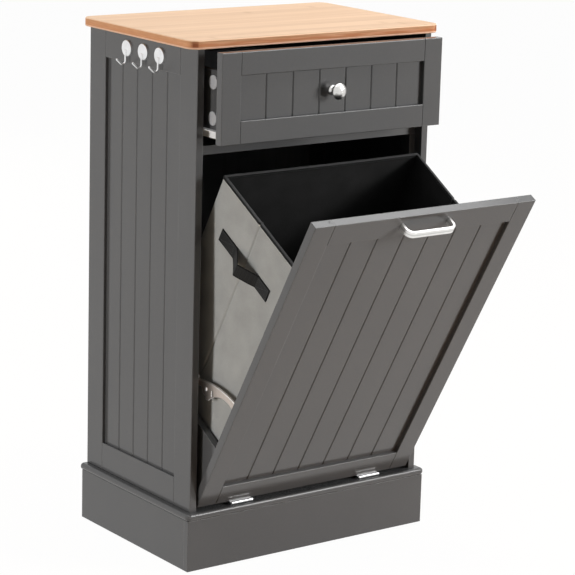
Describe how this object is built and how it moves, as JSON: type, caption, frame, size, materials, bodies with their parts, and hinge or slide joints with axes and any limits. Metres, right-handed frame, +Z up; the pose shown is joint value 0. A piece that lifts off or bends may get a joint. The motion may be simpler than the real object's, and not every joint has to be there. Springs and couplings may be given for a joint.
{
  "type": "tilt-out waste cabinet",
  "caption": "Free-standing kitchen cabinet with a bamboo top, a drawer, side hooks and a bottom-hinged door that tilts out a soft lift-out waste bin.",
  "frame": {"origin": "on the floor, at mid width, in the plane of the carcass front, under the front plinth board", "axes": "+Z up, +Y to the back of the cabinet, +X to the right seen from the front"},
  "size_m": [0.5239, 0.656, 0.9],
  "materials": {
    "grey_paint": "semi-gloss grey paint",
    "board_grey": "matt grey foil",
    "bamboo": "oiled bamboo strips",
    "satin_steel": "satin",
    "nickel": "polished nickel plate",
    "warm_nickel": "satin nickel plate",
    "white_enamel": "white powder coat",
    "white_nylon": "nylon",
    "pale_plastic": "moulded",
    "bin_cloth": "felted grey cloth",
    "black_binding": "woven tape",
    "black_webbing": "woven webbing",
    "bin_board": "cloth-covered board"
  },
  "bodies": {
    "cabinet": {"top_board": "bamboo", "base_board": "grey_paint", "plinth_front_board": "grey_paint", "plinth_rear_board": "grey_paint", "plinth_left_board": "grey_paint", "plinth_right_board": "grey_paint", "left_side_front_stile": "grey_paint", "left_side_rear_stile": "grey_paint", "left_side_top_rail": "grey_paint", "left_side_bottom_rail": "grey_paint", "left_side_panel": "grey_paint", "right_side_front_stile": "grey_paint", "right_side_rear_stile": "grey_paint", "right_side_top_rail": "grey_paint", "right_side_bottom_rail": "grey_paint", "right_side_panel": "grey_paint", "back_panel": "board_grey", "drawer_divider": "grey_paint", "door_stop_blocks": "grey_paint", "side_hooks": "satin_steel", "cabinet_runners": "white_enamel", "cabinet_roller_axles": "satin_steel", "hinge_base_leaves": "satin_steel", "hinge_pins": "satin_steel", "stay_brackets": "warm_nickel", "stay_pins": "warm_nickel"},
    "drawer": {"drawer_runners": "white_enamel", "drawer_roller_axles": "satin_steel", "drawer_front_left_stile": "grey_paint", "drawer_front_right_stile": "grey_paint", "drawer_front_top_rail": "grey_paint", "drawer_front_bottom_rail": "grey_paint", "drawer_front_panel": "grey_paint", "drawer_left_side": "grey_paint", "drawer_right_side": "grey_paint", "drawer_bottom": "board_grey", "drawer_back": "board_grey", "drawer_cover_caps": "pale_plastic", "drawer_knob": "nickel", "drawer_knob_screw": "satin_steel"},
    "door": {"door_left_stile": "grey_paint", "door_right_stile": "grey_paint", "door_top_rail": "grey_paint", "door_bottom_rail": "grey_paint", "door_panel": "grey_paint", "door_handle": "nickel", "door_handle_screws": "satin_steel", "hinge_door_leaves": "satin_steel", "stay_arms": "warm_nickel", "tray_left_side": "grey_paint", "tray_right_side": "grey_paint", "tray_floor_board": "grey_paint", "tray_back": "grey_paint", "bin_shell": "bin_cloth", "bin_rim_binding": "black_binding", "bin_base_board": "bin_board", "bin_webbing_handles": "black_webbing"},
    "cabinet_rollers": {"cabinet_rollers": "white_nylon"},
    "drawer_rollers": {"drawer_rollers": "white_nylon"}
  },
  "joints": [
    {"name": "door_tilt", "type": "hinge", "parent": "cabinet", "child": "door", "pos_m": [0, -0.0025, 0.1038], "axis": [1, 0, 0], "range_deg": [-29.8, 0]},
    {"name": "drawer_slide", "type": "slide", "parent": "cabinet", "child": "drawer", "axis": [0, -1, 0], "range_m": [-0.0484, 0.17]},
    {"name": "cabinet_roller_spin", "type": "hinge", "parent": "cabinet", "child": "cabinet_rollers", "pos_m": [0, 0.026, 0.7461], "axis": [1, 0, 0], "range_deg": [-600, 2000]},
    {"name": "drawer_roller_spin", "type": "hinge", "parent": "drawer", "child": "drawer_rollers", "pos_m": [0, 0.2386, 0.7461], "axis": [1, 0, 0], "range_deg": [-600, 2000]}
  ],
  "couplings": [
    {"joint": "cabinet_roller_spin", "follows": "drawer_slide", "rad_per_m": 158.73},
    {"joint": "drawer_roller_spin", "follows": "drawer_slide", "rad_per_m": 158.73}
  ]
}
